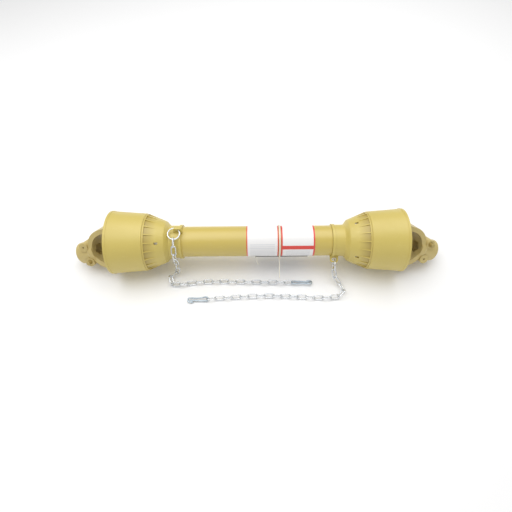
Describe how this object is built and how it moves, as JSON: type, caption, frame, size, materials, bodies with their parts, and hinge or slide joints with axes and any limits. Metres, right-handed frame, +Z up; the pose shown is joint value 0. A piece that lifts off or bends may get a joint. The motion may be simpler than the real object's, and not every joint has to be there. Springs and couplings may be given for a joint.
{
  "type": "pto drive shaft",
  "caption": "Telescoping power take-off drive shaft with two universal joints, ribbed guard cones and bells, push-pin splined yokes and safety chains with hooks.",
  "frame": {"origin": "under the middle of the whole part, on the ground", "axes": "+X along the shaft towards the end whose chain ring hangs from its eyelet, +Z up"},
  "size_m": [1.0076, 0.2302, 0.171],
  "materials": {
    "guard_yellow": "satin moulded plastic, pale yellow",
    "tube_yellow": "smooth extruded plastic",
    "nylon_white": "plain nylon",
    "forged_steel": "thin tan coating over a forged skin",
    "cross_steel": "ground and oiled",
    "cup_steel": "turned",
    "spring_steel": "phosphated",
    "plated_steel": "yellow zinc plate",
    "tube_steel": "greased drawn tube",
    "zinc_chain": "bright zinc plate",
    "label_film": "blank self-adhesive film",
    "tie_cream": "nylon",
    "sleeve_black": "thin film"
  },
  "bodies": {
    "shaft_a": {"inner_yoke_a": "forged_steel", "yoke_pin_a": "spring_steel", "profile_tube_outer": "tube_steel", "inner_cups_a": "cup_steel", "inner_circlips_a": "spring_steel"},
    "shaft_b": {"inner_yoke_b": "forged_steel", "yoke_pin_b": "spring_steel", "profile_tube_inner": "tube_steel", "inner_cups_b": "cup_steel", "inner_circlips_b": "spring_steel"},
    "guard_a": {"bell_a": "guard_yellow", "ribbed_cone_a": "guard_yellow", "bearing_ring_a": "nylon_white", "guard_tube_outer": "tube_yellow", "label_left": "label_film", "label_right": "label_film", "cable_tie": "tie_cream", "document_sleeve": "sleeve_black"},
    "guard_b": {"bell_b": "guard_yellow", "ribbed_cone_b": "guard_yellow", "bearing_ring_b": "nylon_white", "guard_tube_inner": "tube_yellow"},
    "cross_body_a": {"cross_a": "cross_steel", "grease_nipple_a": "plated_steel"},
    "yoke_body_a": {"outer_yoke_a": "forged_steel", "outer_cups_a": "cup_steel", "outer_circlips_a": "spring_steel", "pin_rings_a": "plated_steel", "pin_spring_a1": "spring_steel", "pin_spring_a2": "spring_steel"},
    "pin_body_a1": {"push_pin_a1": "plated_steel"},
    "pin_body_a2": {"push_pin_a2": "plated_steel"},
    "cross_body_b": {"cross_b": "cross_steel", "grease_nipple_b": "plated_steel"},
    "yoke_body_b": {"outer_yoke_b": "forged_steel", "outer_cups_b": "cup_steel", "outer_circlips_b": "spring_steel", "pin_rings_b": "plated_steel", "pin_spring_b1": "spring_steel", "pin_spring_b2": "spring_steel"},
    "pin_body_b1": {"push_pin_b1": "plated_steel"},
    "pin_body_b2": {"push_pin_b2": "plated_steel"},
    "ring_body_a": {"chain_ring_a": "zinc_chain"},
    "drop_body_a": {"chain_drop_a": "zinc_chain"},
    "run_body_a": {"chain_run_a": "zinc_chain"},
    "hook_body_a": {"hook_a": "zinc_chain"},
    "ring_body_b": {"chain_ring_b": "zinc_chain"},
    "drop_body_b": {"chain_drop_b": "zinc_chain"},
    "run_body_b": {"chain_run_b": "zinc_chain"},
    "hook_body_b": {"hook_b": "zinc_chain"}
  },
  "joints": [
    {"name": "telescope", "type": "slide", "parent": "shaft_a", "child": "shaft_b", "axis": [1, 0, 0], "range_m": [0, 0.25]},
    {"name": "guard_spin_a", "type": "hinge", "parent": "shaft_a", "child": "guard_a", "pos_m": [-0.26103, 0.02962, 0.0855], "axis": [1, 0, 0], "continuous": true},
    {"name": "guard_spin_b", "type": "hinge", "parent": "shaft_b", "child": "guard_b", "pos_m": [0.26097, 0.02962, 0.0855], "axis": [1, 0, 0], "continuous": true},
    {"name": "cross_swing_a", "type": "hinge", "parent": "shaft_a", "child": "cross_body_a", "pos_m": [-0.36003, 0.02962, 0.0855], "axis": [0, -0.788, 0.6157], "range_deg": [-39.1, 2.9]},
    {"name": "yoke_swing_a", "type": "hinge", "parent": "cross_body_a", "child": "yoke_body_a", "pos_m": [-0.36003, 0.02962, 0.0855], "axis": [-0.3106, 0.5852, 0.749], "range_deg": [-2.86, 30.14]},
    {"name": "pin_push_a1", "type": "slide", "parent": "yoke_body_a", "child": "pin_body_a1", "axis": [-0.2242, -0.8109, 0.5406], "range_m": [0, 0.01], "stiffness_N_per_m": 1500, "springref_m": -0.003, "deforming": ["pin_spring_a1"]},
    {"name": "pin_push_a2", "type": "slide", "parent": "yoke_body_a", "child": "pin_body_a2", "axis": [0.2242, 0.8109, -0.5406], "range_m": [0, 0.01], "stiffness_N_per_m": 1500, "springref_m": -0.003, "deforming": ["pin_spring_a2"]},
    {"name": "cross_swing_b", "type": "hinge", "parent": "shaft_b", "child": "cross_body_b", "pos_m": [0.35997, 0.02962, 0.0855], "axis": [0, 0.788, -0.6157], "range_deg": [-39.01, 2.99]},
    {"name": "yoke_swing_b", "type": "hinge", "parent": "cross_body_b", "child": "yoke_body_b", "pos_m": [0.35997, 0.02962, 0.0855], "axis": [0.3093, 0.5855, 0.7494], "range_deg": [-30.08, 2.92]},
    {"name": "pin_push_b1", "type": "slide", "parent": "yoke_body_b", "child": "pin_body_b1", "axis": [-0.2233, 0.8107, -0.5412], "range_m": [0, 0.01], "stiffness_N_per_m": 1500, "springref_m": -0.003, "deforming": ["pin_spring_b1"]},
    {"name": "pin_push_b2", "type": "slide", "parent": "yoke_body_b", "child": "pin_body_b2", "axis": [0.2233, -0.8107, 0.5412], "range_m": [0, 0.01], "stiffness_N_per_m": 1500, "springref_m": -0.003, "deforming": ["pin_spring_b2"]},
    {"name": "ring_swing_a", "type": "hinge", "parent": "guard_a", "child": "ring_body_a", "pos_m": [-0.20803, 0.03148, 0.13852], "axis": [1, 0, 0], "range_deg": [-35, 0]},
    {"name": "drop_swing_a", "type": "hinge", "parent": "ring_body_a", "child": "drop_body_a", "pos_m": [-0.21723, 0.00571, 0.13351], "axis": [1, 0, 0], "range_deg": [-35, 0]},
    {"name": "run_swing_a", "type": "hinge", "parent": "drop_body_a", "child": "run_body_a", "pos_m": [-0.22604, -0.02768, 0.01626], "axis": [0.617, -0.5058, -0.6029], "range_deg": [0, 40]},
    {"name": "hook_swing_a", "type": "hinge", "parent": "run_body_a", "child": "hook_body_a", "pos_m": [0.10062, -0.05695, 0.00655], "axis": [0.0041, 0.309, 0.9511], "range_deg": [-45, 45]},
    {"name": "ring_swing_b", "type": "hinge", "parent": "guard_b", "child": "ring_body_b", "pos_m": [0.20897, -0.01653, 0.06198], "axis": [1, 0, 0], "range_deg": [-35, 0]},
    {"name": "drop_swing_b", "type": "hinge", "parent": "ring_body_b", "child": "drop_body_b", "pos_m": [0.20897, -0.02676, 0.05021], "axis": [1, 0, 0], "range_deg": [-35, 0]},
    {"name": "run_swing_b", "type": "hinge", "parent": "drop_body_b", "child": "run_body_b", "pos_m": [0.2277, -0.06786, 0.01163], "axis": [0.7004, 0.1915, 0.6876], "range_deg": [0, 40]},
    {"name": "hook_swing_b", "type": "hinge", "parent": "run_body_b", "child": "hook_body_b", "pos_m": [-0.13905, -0.10419, 0.0061], "axis": [0.0183, -0.3085, 0.9511], "range_deg": [-45, 45]}
  ]
}
